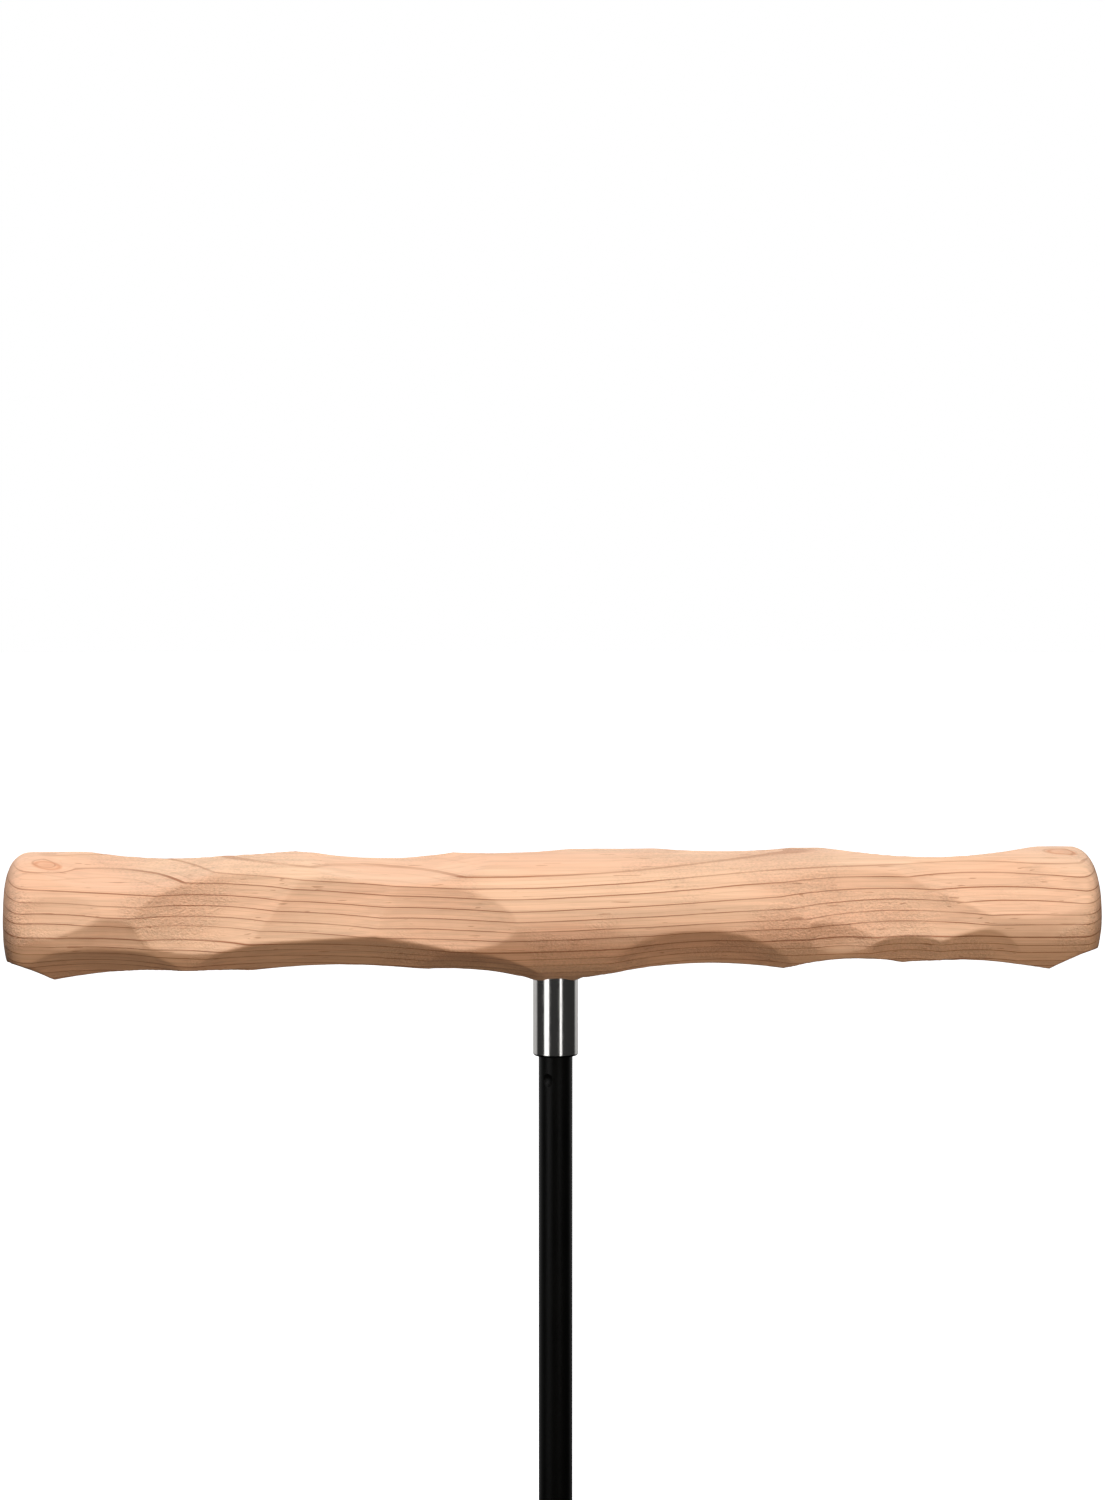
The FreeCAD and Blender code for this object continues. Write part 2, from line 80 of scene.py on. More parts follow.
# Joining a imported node's loose triangles
WELD_GAP = 0.002 * MM
FLAT_ANGLE = math.radians(0.2)

# Rounding of the bars and feet
SHARP_ANGLE = math.radians(40)
FOOT_RIM_ANGLE = math.radians(60)
EDGE_STEPS = 3
TREAD_LEVELS = (1.9 * MM, 4.1 * MM)
UPRIGHT = 0.1

# The perch's seat on the ferrule: how far round it the skin is smoothed, in seats, and how often
SEAT_BLEND = 1.4
SEAT_ROUNDS = 12
SMOOTHING = 0.5

# Features that each pattern of the wood has in a metre along, across and up the perch
SWAY_GRAIN = (5, 14, 14)
FADE_GRAIN = (16, 110, 110)
STREAK_GRAIN = (9, 430, 430)
FIBRE_GRAIN = (26, 900, 900)
MOTTLE_GRAIN = (14, 40, 40)
TORN_GRAIN = (24, 34, 34)
STIPPLE_GRAIN = (800, 1300, 1300)
DASH_GRAIN = (75, 1150, 1150)

# How the growth rings wander along the perch: stops of (share of its length, share of the drift)
RING_COURSE = ((0.0, 0.85), (0.25, 0.50), (0.47, 0.22), (0.70, 0.62), (1.0, 0.64))
RING_DRIFT = 20 * MM
RING_SWAY = 3.6 * MM
RING_UNEVENNESS = 1.3

# Each knot's place along, across and up from the perch's middle, and its radius
KNOTS = ((-0.2105, -0.013, 0.0225, 2.4 * MM), (0.2125, -0.008, 0.0250, 2.6 * MM))
KNOT_LENGTHENING = 0.45
KNOT_REACH = 2.4
KNOT_PUSH = 3.2 * MM

# A growth ring from its early wood to its dark late wood: stops of (share of the ring, darkness)
LATE_WOOD = ((0.0, 0.15), (0.02, 0.0), (0.66, 0.01), (0.88, 0.10), (0.925, 1.0), (0.99, 1.0))
FAINT_LINES = ((0.0, 0.0), (0.76, 0.0), (0.93, 0.24), (1.0, 0.0))
FAINT_LINES_PER_RING = 2.7
KNOT_HALO = ((0.42, 0.0), (0.62, 0.75), (0.78, 0.25), (1.0, 0.45))

# How strongly each pattern colours the wood
LINE_TINT = 0.96
DASH_TINT = 0.55
SPECK_TINT = 0.24
END_TINT = 0.55
END_SHADE = (0.60, 0.47, 0.36)

# How much each pattern stands out of the wood
TORN_RELIEF = 2.0
FIBRE_RELIEF = 0.35
LINE_RELIEF = 0.15
RELIEF_DEPTH = 0.35 * MM
RELIEF_STRENGTH = 0.75

# The floor's grey ends between these distances from the pole
FLOOR_SIDES = 128
FLOOR_GREY_TO = 0.45
FLOOR_WHITE_FROM = 2.0

# Where the white surroundings begin behind the stand and end below it, as parts of a direction
BACKDROP_EDGE = (0.30, 0.50)
GROUND_EDGE = (-0.45, 0.05)

# Each light's place from the pole at the perch's height, and its width and height
KEY_PLACE = (-0.26, -0.88, 2.0)
KEY_SIZE = (1.0, 0.8)
FILL_PLACE = (0.3, -2.2, -0.25)
FILL_SIZE = (2.6, 2.0)
STRIP_DISTANCE = 1.5
STRIP_HEIGHT = 1.5
STRIP_RISE = 0.35
# Each strip's bearing to the right of the front and its width, in degrees
STRIPS = (("strip_left", -50, 24), ("strip_right", 23, 9))

SENSOR_WIDTH = 36
FARTHEST_SEEN = 100


def length(name, description, default):
    """A length that the sidebar shows in the scene's units."""
    return bpy.props.FloatProperty(
        name=name, description=description, default=default, unit="LENGTH", precision=5)


def colour(name, description, default):
    """A colour that the sidebar shows as a swatch."""
    return bpy.props.FloatVectorProperty(
        name=name, description=description, default=default, subtype="COLOR", size=3, min=0, max=1)


def angle(name, description, degrees):
    """An angle that the sidebar shows in degrees."""
    return bpy.props.FloatProperty(
        name=name, description=description, default=math.radians(degrees), unit="ROTATION")


def number(name, description, default):
    """A plain number."""
    return bpy.props.FloatProperty(name=name, description=description, default=default, precision=3)


def count(name, description, default):
    """A whole number of at least one."""
    return bpy.props.IntProperty(name=name, description=description, default=default, min=1)


class PerchLook(bpy.types.PropertyGroup):
    """Sizes and colours of the carved wooden perch."""
    strips_around: count("Strips around", "Faces round the perch's girth", 172)
    ring_step: length("Ring step", "Spacing of the skin's rings along the perch", 0.86 * MM)
    core_radius: length("Core radius", "Radius of the core that the skin starts from", 21 * MM)
    core_rounding: length("Core rounding", "Rounding of the core's two ends", 11 * MM)
    rounding_steps: count("Rounding steps", "Rings of the skin round each end's rounding", 16)
    end_inset: length("End inset", "How far the core stops short of each end", 5 * MM)
    cap_step: length("Cap step", "Spacing of the skin's rings on the end faces", 1.6 * MM)
    reach: length("Reach", "Furthest that the skin moves to meet the carving", 12 * MM)
    seat_fill: length("Seat fill", "How far under the ferrule's top the skin closes", 2.5 * MM)
    seat_land: length("Seat land", "Width of the full wood left round the ferrule", 1.8 * MM)
    ridge_softening: count("Ridge softening", "Rounds of smoothing that dull the ridges", 1)
    chatter_depth: length("Chatter depth", "Depth of the blade's fine waviness", 0.25 * MM)
    chatter_size: length("Chatter size", "Width of the blade's fine waviness", 7 * MM)
    ring_spacing: length("Ring spacing", "Distance between growth rings", 4.1 * MM)
    pith_behind: length("Pith behind", "How far the tree's centre lies behind the perch axis", 30 * MM)
    pith_below: length("Pith below", "How far the tree's centre lies below the perch axis", 150 * MM)
    pale: colour("Early wood", "Colour between the growth rings", (0.860, 0.545, 0.350))
    pink: colour("Warm wood", "Colour of the warmer patches", (0.840, 0.490, 0.310))
    line: colour("Late wood", "Colour of the growth rings' dark lines", (0.370, 0.140, 0.062))
    knot: colour("Knot", "Colour of the two small knots", (0.620, 0.250, 0.120))


class MetalLook(bpy.types.PropertyGroup):
    """Colours of the metal, coated and moulded pieces, and the shaping of the bars and feet."""
    steel: colour("Stainless steel", "Colour of the ferrule", (0.640, 0.625, 0.605))
    zinc: colour("Zinc plate", "Colour of the plated bolts and washers", (0.560, 0.570, 0.590))
    brass: colour("Brass", "Colour of the insert and the clamp pad", (0.720, 0.530, 0.240))
    aluminium: colour("Aluminium", "Colour of the plug in the pole", (0.700, 0.700, 0.705))
    oxide: colour("Black oxide", "Colour of the set screws", (0.030, 0.030, 0.032))
    pole: colour("Pole coat", "Colour of the satin coat on the tubes", (0.0009, 0.0009, 0.0008))
    base: colour("Base coat", "Colour of the textured coat on the base", (0.0150, 0.0150, 0.0160))
    nylon: colour("Natural nylon", "Colour of the bush, guide and thrust washer", (0.800, 0.770, 0.680))
    moulded: colour("Black nylon", "Colour of the clamp collar and knob", (0.0170, 0.0170, 0.0185))
    rubber: colour("Rubber", "Colour of the feet", (0.0160, 0.0158, 0.0155))
    dust: colour("Dust", "Colour of the dust that gathers low on the feet", (0.120, 0.112, 0.100))
    bar_edge: length("Bar edge", "Rounding of the base bars' edges", 0.8 * MM)
    foot_edge: length("Foot edge", "Rounding of the feet's lower edges", 0.9 * MM)
    tread_depth: length("Tread depth", "Depth of the grooves round the feet's soles", 0.6 * MM)
    tread_width: length("Tread width", "Width of the grooves round the feet's soles", 0.9 * MM)


class StageLook(bpy.types.PropertyGroup):
    """The floor, the lights and the camera."""
    floor_radius: length("Floor radius", "Size of the floor", 40.0)
    floor_grey: number("Floor grey", "How pale the floor is near the stand", 0.80)
    key_power: number("Key power", "Watts of the soft light above the front", 60.0)
    key_tone: colour("Key tone", "Colour of the soft light above the front", (0.87, 0.93, 1.00))
    fill_power: number("Fill power", "Watts of the broad soft light in front", 36.5)
    fill_tone: colour("Fill tone", "Colour of the broad soft light in front", (1.00, 0.82, 0.66))
    strip_glow: number("Strip glow", "Brightness of the two tall lights at the front", 2.4)
    backdrop_glow: number("Backdrop glow", "Brightness of the white surroundings behind", 0.95)
    fill_glow: number("Fill glow", "Brightness of the surroundings elsewhere", 0.055)
    camera_orbit: angle("Camera orbit", "How far round to the left the camera stands", 3.6)
    camera_distance: length("Camera distance", "The camera's distance from the pole", 1.3065)
    camera_rise: length("Camera rise", "The camera's height above the perch's middle", 0.1445)
    camera_pitch: angle("Camera pitch", "How far the camera looks down", 3.312)
    camera_yaw: angle("Camera yaw", "How far the camera looks to the left of the pole", 0.0575)
    camera_roll: angle("Camera roll", "How far the camera leans to the right", 0.0)
    camera_lens: bpy.props.FloatProperty(
        name="Camera lens", description="Focal length on a 36 mm sensor", default=75.07, unit="CAMERA")


# Modelling helpers

def only(piece):
    """Make one object the only selected one, and the active one, in object mode."""
    if bpy.context.mode != "OBJECT":
        bpy.ops.object.mode_set(mode="OBJECT")
    bpy.ops.object.select_all(action="DESELECT")
    piece.select_set(True)
    bpy.context.view_layer.objects.active = piece


def apply_modifier(piece, kind, **settings):
    """Add a modifier with these settings and apply it."""
    only(piece)
    modifier = piece.modifiers.new(kind.lower(), kind)
    for key, value in settings.items():
        setattr(modifier, key, value)
    bpy.ops.object.modifier_apply(modifier=modifier.name)


def pick(piece, kind, test):
    """Go to edit mode with only those vertices, edges or faces selected that pass the test."""
    only(piece)
    bpy.ops.object.mode_set(mode="EDIT")
    bpy.ops.mesh.select_mode(type=kind)
    bpy.ops.mesh.select_all(action="DESELECT")
    bpy.ops.object.mode_set(mode="OBJECT")
    mesh = piece.data
    parts = {"VERT": mesh.vertices, "EDGE": mesh.edges, "FACE": mesh.polygons}[kind]
    for part in parts:
        part.select = test(part)
    bpy.ops.object.mode_set(mode="EDIT")


def leave_edit():
    """Go back to object mode, which keeps what edit mode changed."""
    bpy.ops.object.mode_set(mode="OBJECT")


def copy_of(node, name):
    """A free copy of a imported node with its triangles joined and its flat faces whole."""
    only(frame["nodes"][node])
    bpy.ops.object.duplicate(linked=False)
    piece = bpy.context.object
    bpy.ops.object.parent_clear(type="CLEAR_KEEP_TRANSFORM")
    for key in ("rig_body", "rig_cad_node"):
        del piece[key]
    piece.name = name
    piece.data.name = name
    bpy.ops.object.mode_set(mode="EDIT")
    bpy.ops.mesh.customdata_custom_splitnormals_clear()
    bpy.ops.mesh.select_all(action="SELECT")
    bpy.ops.mesh.remove_doubles(threshold=WELD_GAP)
    bpy.ops.mesh.dissolve_limited(angle_limit=FLAT_ANGLE)
    leave_edit()
    return piece


def stand_for(piece, node, body, slot):
    """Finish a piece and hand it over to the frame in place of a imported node."""
    piece.data.materials.clear()
    piece.data.materials.append(finish_for(slot))
    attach(piece, body)
    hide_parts(node)


# Material helpers

def new_material(name):
    """An empty material with its shader joined to its output."""
    material = bpy.data.materials.new(name)
    material.use_nodes = True
    tree = material.node_tree
    tree.nodes.clear()
    shader = tree.nodes.new("ShaderNodeBsdfPrincipled")
    output = tree.nodes.new("ShaderNodeOutputMaterial")
    tree.links.new(shader.outputs["BSDF"], output.inputs["Surface"])
    return material, tree, shader


def put(tree, kind, inputs=None, **settings):
    """Add a node. An input is joined if it is another node's output, and set if it is a value."""
    node = tree.nodes.new("ShaderNode" + kind)
    for key, value in settings.items():
        setattr(node, key, value)
    for key, value in (inputs or {}).items():
        if isinstance(value, bpy.types.NodeSocket):
            tree.links.new(value, node.inputs[key])
        else:
            node.inputs[key].default_value = value
    return node


def join(tree, shader, **inputs):
    """Join outputs to the shader's sockets, or set the sockets to values."""
    for key, value in inputs.items():
        socket = shader.inputs[key.replace("_", " ").title().replace("Ior", "IOR")]
        if isinstance(value, bpy.types.NodeSocket):
            tree.links.new(value, socket)
        else:
            socket.default_value = value


def place_of(tree, stretch=(1, 1, 1), shift=(0, 0, 0)):
    """The point on the object in metres, moved and then stretched along its axes."""
    point = put(tree, "TexCoord").outputs["Object"]
    if tuple(stretch) == (1, 1, 1) and tuple(shift) == (0, 0, 0):
        return point
    moved = put(tree, "VectorMath", {0: point, 1: shift}, operation="ADD").outputs[0]
    return put(tree, "VectorMath", {0: moved, 1: stretch}, operation="MULTIPLY").outputs[0]


def distance_of(tree, point):
    """How far a point is from its origin."""
    return put(tree, "VectorMath", {0: point}, operation="LENGTH").outputs["Value"]


def work_out(tree, operation, first, second=0.0, third=0.0):
    """One step of arithmetic."""
    return put(tree, "Math", {0: first, 1: second, 2: third}, operation=operation).outputs[0]


def noise(tree, place, scale=1.0, detail=2.0, roughness=0.5):
    """A soft random pattern of 0 to 1, with this many features in a unit of the place."""
    values = {"Vector": place, "Scale": scale, "Detail": detail, "Roughness": roughness}
    return put(tree, "TexNoise", values).outputs[0]


def between(tree, value, low, high, out_low=0.0, out_high=1.0):
    """A soft step: out_low below low, out_high above high."""
    values = {"Value": value, "From Min": low, "From Max": high, "To Min": out_low, "To Max": out_high}
    return put(tree, "MapRange", values, interpolation_type="SMOOTHSTEP").outputs[0]


def ramp(tree, factor, stops, interpolation="LINEAR"):
    """A grey ramp through (place, value) stops."""
    node = put(tree, "ValToRGB", {"Fac": factor})
    band = node.color_ramp
    band.interpolation = interpolation
    while len(band.elements) < len(stops):
        band.elements.new(0.5)
    for element, (place, value) in zip(band.elements, stops):
        element.position = place
        element.color = (value, value, value, 1)
    return node.outputs["Color"]


def tint(tree, factor, first, second, mode="MIX"):
    """Colours mixed by a factor. Either may be a swatch or another node's output."""
    node = put(tree, "Mix", data_type="RGBA", blend_type=mode)
    for index, value in ((0, factor), (6, first), (7, second)):
        if isinstance(value, bpy.types.NodeSocket):
            tree.links.new(value, node.inputs[index])
        elif index == 0:
            node.inputs[index].default_value = value
        else:
            node.inputs[index].default_value = (*value, 1)
    return node.outputs[2]


def bump(tree, height, depth, strength=1.0):
    """A normal from a height of 0 to 1 that stands for this depth in metres."""
    values = {"Height": height, "Distance": depth, "Strength": strength}
    return put(tree, "Bump", values).outputs["Normal"]


# Materials

def knots_in(tree):
    """The two small knots: 1 at their centres and 0 away from them."""
    knots = 0.0
    for along, across, up, radius in KNOTS:
        spot = Vector((along, PERCH_CENTRE.y + across, PERCH_CENTRE.z + up))
        offset = place_of(tree, (KNOT_LENGTHENING / radius, 1.0 / radius, 1.0 / radius), -spot)
        near = between(tree, distance_of(tree, offset), 0.0, KNOT_REACH, 1.0, 0.0)
        knots = work_out(tree, "ADD", knots, near)
    return knots


def ring_lines(tree, look, axes, knots):
    """The dark lines of the growth rings, which lie round the tree's centre and bend round the knots."""
    pith = Vector((0, PERCH_CENTRE.y + look.pith_behind, PERCH_CENTRE.z - look.pith_below))
    from_pith = distance_of(tree, place_of(tree, stretch=(0, 1, 1), shift=-pith))
    ends = {"Value": axes["X"], "From Min": -PERCH_HALF, "From Max": PERCH_HALF}
    share = put(tree, "MapRange", ends).outputs[0]
    drift = work_out(tree, "MULTIPLY", ramp(tree, share, RING_COURSE, "B_SPLINE"), RING_DRIFT)
    sway = noise(tree, place_of(tree, SWAY_GRAIN), 1.0, 3.0, 0.55)
    sway = work_out(tree, "MULTIPLY_ADD", sway, RING_SWAY, -RING_SWAY / 2)
    depth = work_out(tree, "SUBTRACT", from_pith, drift)
    depth = work_out(tree, "ADD", depth, sway)
    depth = work_out(tree, "MULTIPLY_ADD", knots, KNOT_PUSH, depth)

    turns = work_out(tree, "DIVIDE", depth, look.ring_spacing)
    uneven = noise(tree, put(tree, "CombineXYZ", {0: turns}).outputs[0], 0.55, 1.0)
    turns = work_out(tree, "MULTIPLY_ADD", uneven, RING_UNEVENNESS, turns)
    late = ramp(tree, work_out(tree, "FRACT", turns), LATE_WOOD)
    finer = work_out(tree, "FRACT", work_out(tree, "MULTIPLY_ADD", turns, FAINT_LINES_PER_RING, 0.35))
    late = work_out(tree, "MAXIMUM", late, ramp(tree, finer, FAINT_LINES))
    fade = noise(tree, place_of(tree, FADE_GRAIN), 1.0, 3.0, 0.6)
    late = work_out(tree, "MULTIPLY", late, between(tree, fade, 0.34, 0.58, 0.55, 1.0))
    # The top is cut nearly along the rings, so its lines are fainter
    top = PERCH_CENTRE.z + 17 * MM
    return work_out(tree, "MULTIPLY", late, between(tree, axes["Z"], top, top + 6 * MM, 1.0, 0.5))


def carved_softwood(look):
    """Softwood sawn wide of the tree's centre: fine lines along the perch, torn where the blade lifted."""
    material, tree, shader = new_material("carved_softwood")
    axes = put(tree, "SeparateXYZ", {0: place_of(tree)}).outputs
    knots = knots_in(tree)
    late = ring_lines(tree, look, axes, knots)
    streak = noise(tree, place_of(tree, STREAK_GRAIN), 1.0, 2.0, 0.6)
    fibre = noise(tree, place_of(tree, FIBRE_GRAIN), 1.0, 3.0, 0.6)
    mottle = noise(tree, place_of(tree, MOTTLE_GRAIN), 1.0, 2.0)
    torn_patch = between(tree, noise(tree, place_of(tree, TORN_GRAIN), 1.0, 3.0), 0.46, 0.60)
    stipple = noise(tree, place_of(tree, STIPPLE_GRAIN), 1.0, 2.0, 0.6)
    dash = between(tree, noise(tree, place_of(tree, DASH_GRAIN), 1.0, 1.0), 0.705, 0.75)

    wood = tint(tree, between(tree, mottle, 0.35, 0.68), look.pale, look.pink)
    wood = tint(tree, 1.0, wood, ramp(tree, streak, ((0.28, 0.86), (0.62, 1.0))), "MULTIPLY")
    wood = tint(tree, work_out(tree, "MULTIPLY", late, LINE_TINT), wood, look.line)
    wood = tint(tree, work_out(tree, "MULTIPLY", dash, DASH_TINT), wood, look.line)
    wood = tint(tree, ramp(tree, knots, KNOT_HALO), wood, look.knot)
    wood = tint(tree, 1.0, wood, ramp(tree, fibre, ((0.25, 0.86), (0.75, 1.0))), "MULTIPLY")
    speck = work_out(tree, "MULTIPLY", torn_patch, SPECK_TINT)
    wood = tint(tree, speck, wood, ramp(tree, stipple, ((0.34, 0.40), (0.60, 1.0))), "MULTIPLY")
    from_middle = work_out(tree, "ABSOLUTE", axes["X"])
    end = between(tree, from_middle, PERCH_HALF - 6 * MM, PERCH_HALF - 0.5 * MM, 0.0, END_TINT)
    wood = tint(tree, end, wood, END_SHADE, "MULTIPLY")

    relief = work_out(tree, "MULTIPLY", work_out(tree, "MULTIPLY", stipple, torn_patch), TORN_RELIEF)
    relief = work_out(tree, "MULTIPLY_ADD", fibre, FIBRE_RELIEF, relief)
    relief = work_out(tree, "MULTIPLY_ADD", late, LINE_RELIEF, relief)
    join(tree, shader, base_color=wood, roughness=between(tree, fibre, 0.2, 0.8, 0.58, 0.74),
         normal=bump(tree, relief, RELIEF_DEPTH, RELIEF_STRENGTH), specular_ior_level=0.5)
    return material


def turned_metal(name, shade, rough, groove, lines_along=(70, 70, 9000)):
    """Bare metal with fine turning lines and a little handling haze."""
    material, tree, shader = new_material(name)
    lines = noise(tree, place_of(tree, lines_along), 1.0, 3.0, 0.65)
    haze = noise(tree, place_of(tree), 85.0, 3.0)
    tone = tint(tree, between(tree, haze, 0.3, 0.75, 0.0, 0.22), shade, [v * 0.78 for v in shade])
    rough_now = work_out(tree, "MULTIPLY_ADD", haze, rough * 0.5, rough * 0.62)
    rough_now = work_out(tree, "MULTIPLY_ADD", lines, rough * 0.28, rough_now)
    join(tree, shader, base_color=tone, metallic=1.0, roughness=rough_now,
         normal=bump(tree, lines, groove))
    return material


def coated_metal(name, shade, rough, grain, depth, gloss):
    """A baked powder coat: fine orange peel, faint haze and a few rubbed streaks."""
    material, tree, shader = new_material(name)
    place = place_of(tree)
    peel = noise(tree, place, grain, 3.0, 0.6)
    haze = noise(tree, place, 30.0, 4.0)
    rubbed = between(tree, noise(tree, place_of(tree, (260, 260, 9)), 1.0, 2.0), 0.66, 0.80)
    tone = tint(tree, between(tree, haze, 0.35, 0.75), shade, [v * 1.55 for v in shade])
    tone = tint(tree, work_out(tree, "MULTIPLY", rubbed, 0.35), tone, [v * 2.4 for v in shade])
    rough_now = work_out(tree, "MULTIPLY_ADD", haze, 0.16, rough - 0.08)
    rough_now = work_out(tree, "MULTIPLY_ADD", rubbed, -0.07, rough_now)
    join(tree, shader, base_color=tone, roughness=rough_now, normal=bump(tree, peel, depth),
         specular_ior_level=gloss)
    return material


def moulded_plastic(name, shade, rough, grain, depth, lift):
    """Moulded plastic with the fine spark grain of its tool and soft flow marks."""
    material, tree, shader = new_material(name)
    place = place_of(tree)
    spark = noise(tree, place, grain, 2.0, 0.7)
    flow = noise(tree, place, 55.0, 3.0)
    tone = tint(tree, between(tree, flow, 0.3, 0.75), shade, [min(1.0, v * lift) for v in shade])
    rough_now = work_out(tree, "MULTIPLY_ADD", flow, 0.14, rough - 0.07)
    join(tree, shader, base_color=tone, roughness=rough_now, normal=bump(tree, spark, depth),
         specular_ior_level=0.45)
    return material


def foot_rubber(look):
    """Matt moulded rubber, dusty near the floor."""
    material, tree, shader = new_material("foot_rubber")
    place = place_of(tree)
    grain = noise(tree, place, 1500.0, 3.0, 0.65)
    patches = noise(tree, place, 120.0, 4.0)
    height = put(tree, "SeparateXYZ", {0: place}).outputs["Z"]
    low = between(tree, height, 0.0, 7 * MM, 0.75, 0.06)
    dusty = work_out(tree, "MULTIPLY", low, between(tree, patches, 0.42, 0.66))
    tone = tint(tree, dusty, look.rubber, look.dust)
    join(tree, shader, base_color=tone, roughness=between(tree, patches, 0.3, 0.7, 0.70, 0.88),
         normal=bump(tree, grain, 0.06 * MM), specular_ior_level=0.30)
    return material


def make_finishes(metal, perch):
    """One material for each finish in the record, by its slot."""
    return {
        "carved_softwood": carved_softwood(perch),
        "stainless": turned_metal("stainless", metal.steel, rough=0.17, groove=0.002 * MM),
        "zinc_steel": turned_metal(
            "zinc_steel", metal.zinc, rough=0.36, groove=0.006 * MM, lines_along=(500, 500, 500)),
        "insert_brass": turned_metal(
            "insert_brass", metal.brass, rough=0.30, groove=0.006 * MM, lines_along=(300, 300, 6000)),
        "plug_aluminium": turned_metal(
            "plug_aluminium", metal.aluminium, rough=0.34, groove=0.006 * MM),
        "black_steel": coated_metal(
            "black_steel", metal.oxide, rough=0.42, grain=1800.0, depth=0.01 * MM, gloss=0.5),
        "pole_black": coated_metal(
            "pole_black", metal.pole, rough=0.40, grain=900.0, depth=0.018 * MM, gloss=0.17),
        "base_black": coated_metal(
            "base_black", metal.base, rough=0.52, grain=1300.0, depth=0.10 * MM, gloss=0.42),
        "natural_nylon": moulded_plastic(
            "natural_nylon", metal.nylon, rough=0.42, grain=1500.0, depth=0.01 * MM, lift=1.08),
        "black_nylon": moulded_plastic(
            "black_nylon", metal.moulded, rough=0.46, grain=2200.0, depth=0.04 * MM, lift=1.5),
        "foot_rubber": foot_rubber(metal),
    }


def finish_for(slot):
    """The material of a slot in the record, made with all the others the first time it is asked for."""
    if slot not in bpy.data.materials or not bpy.data.materials[slot].get("dressed"):
        for name in list(bpy.data.materials.keys()):
            bpy.data.materials[name].name = name + "_packed"
        scene = bpy.context.scene
        for name, material in make_finishes(scene.metal_look, scene.perch_look).items():
            material.name = name
            material["dressed"] = True
    return bpy.data.materials[slot]


# Pieces

def perch_skin(look):
    """A fine skin drawn onto the carved solid, with its ridges a little dulled as by light sanding."""
    core = 2 * PERCH_HALF - 2 * look.end_inset
    bpy.ops.object.select_all(action="DESELECT")
    bpy.ops.mesh.primitive_cylinder_add(
        vertices=look.strips_around, radius=look.core_radius, depth=core, end_fill_type="NGON",
        location=PERCH_CENTRE, rotation=(0, math.pi / 2, 0))
    piece = bpy.context.object
    piece.name = "perch_carved"
    piece.data.name = "perch_carved"
    bpy.ops.object.transform_apply(location=True, rotation=True, scale=True)

    def span(edge):
        """How far an edge reaches along the perch."""
        first, second = [piece.data.vertices[index].co.x for index in edge.vertices]
        return abs(first - second)

    def pick_underside(radius):
        """Select the skin's vertices under the perch within this radius of the pole's axis."""
        pick(piece, "VERT", lambda v: math.hypot(v.co.x, v.co.y) < radius and v.co.z < PERCH_CENTRE.z)

    straight = core - 2 * look.core_rounding
    pick(piece, "EDGE", lambda e: span(e) < look.ring_step)
    bpy.ops.mesh.bevel(offset=look.core_rounding, segments=look.rounding_steps, affect="EDGES")
    pick(piece, "EDGE", lambda e: span(e) > straight / 2)
    bpy.ops.mesh.subdivide_edgering(number_cuts=round(straight / look.ring_step), interpolation="LINEAR")
    pick(piece, "FACE", lambda f: len(f.vertices) > 4)
    for _ in range(int((look.core_radius - look.core_rounding) / look.cap_step) - 1):
        bpy.ops.mesh.inset(thickness=look.cap_step)
    bpy.ops.mesh.poke()
    leave_edit()

    apply_modifier(piece, "SHRINKWRAP", target=frame["nodes"]["perch"], wrap_method="PROJECT",
                   use_negative_direction=True, use_positive_direction=True, project_limit=look.reach)
    seat = FERRULE_RADIUS + look.seat_land
    pick_underside(seat)
    bpy.ops.transform.resize(value=(1, 1, 0), center_override=(0, 0, FERRULE_HIGH.z - look.seat_fill))
    pick_underside(SEAT_BLEND * seat)
    bpy.ops.mesh.vertices_smooth(factor=SMOOTHING, repeat=SEAT_ROUNDS)
    leave_edit()

    apply_modifier(piece, "SMOOTH", factor=SMOOTHING, iterations=look.ridge_softening)
    texture = bpy.data.textures.new("blade_chatter", "CLOUDS")
    texture.noise_scale = look.chatter_size
    texture.noise_depth = 2
    apply_modifier(piece, "DISPLACE", texture=texture, texture_coords="LOCAL", mid_level=1.0,
                   strength=look.chatter_depth)
    only(piece)
    bpy.ops.object.shade_smooth()
    return piece


def round_edges(piece, width, least_angle):
    """Round the edges that are at least this sharp, and shade the rest smooth."""
    apply_modifier(piece, "BEVEL", width=width, segments=EDGE_STEPS, limit_method="ANGLE",
                   angle_limit=least_angle, use_clamp_overlap=True)
    only(piece)
    bpy.ops.object.shade_smooth_by_angle(angle=SHARP_ANGLE)


def eased_bar(node, name, edge):
    """A base bar with its sharp edges rounded as rolled bar is."""
    piece = copy_of(node, name)
    round_edges(piece, edge, SHARP_ANGLE)
    apply_modifier(piece, "WEIGHTED_NORMAL", keep_sharp=True)
    return piece


def treaded_feet(node, name, look):
    """The two rubber caps of a bar, with eased lower edges and two shallow grooves round each sole."""
    piece = copy_of(node, name)
    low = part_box(node)[0].z
    for level in TREAD_LEVELS:
        for height in (level, level + look.tread_width):
            only(piece)
            bpy.ops.object.mode_set(mode="EDIT")
            bpy.ops.mesh.select_all(action="SELECT")
            bpy.ops.mesh.bisect(plane_co=(0, 0, low + height), plane_no=(0, 0, 1))
            leave_edit()
        middle = low + level + look.tread_width / 2
        nearest = look.tread_width / 3
        pick(piece, "FACE", lambda f: abs(f.center.z - middle) < nearest and abs(f.normal.z) < UPRIGHT)
        bpy.ops.mesh.inset(thickness=0.0, depth=-look.tread_depth, use_even_offset=True)
        leave_edit()
    round_edges(piece, look.foot_edge, FOOT_RIM_ANGLE)
    return piece


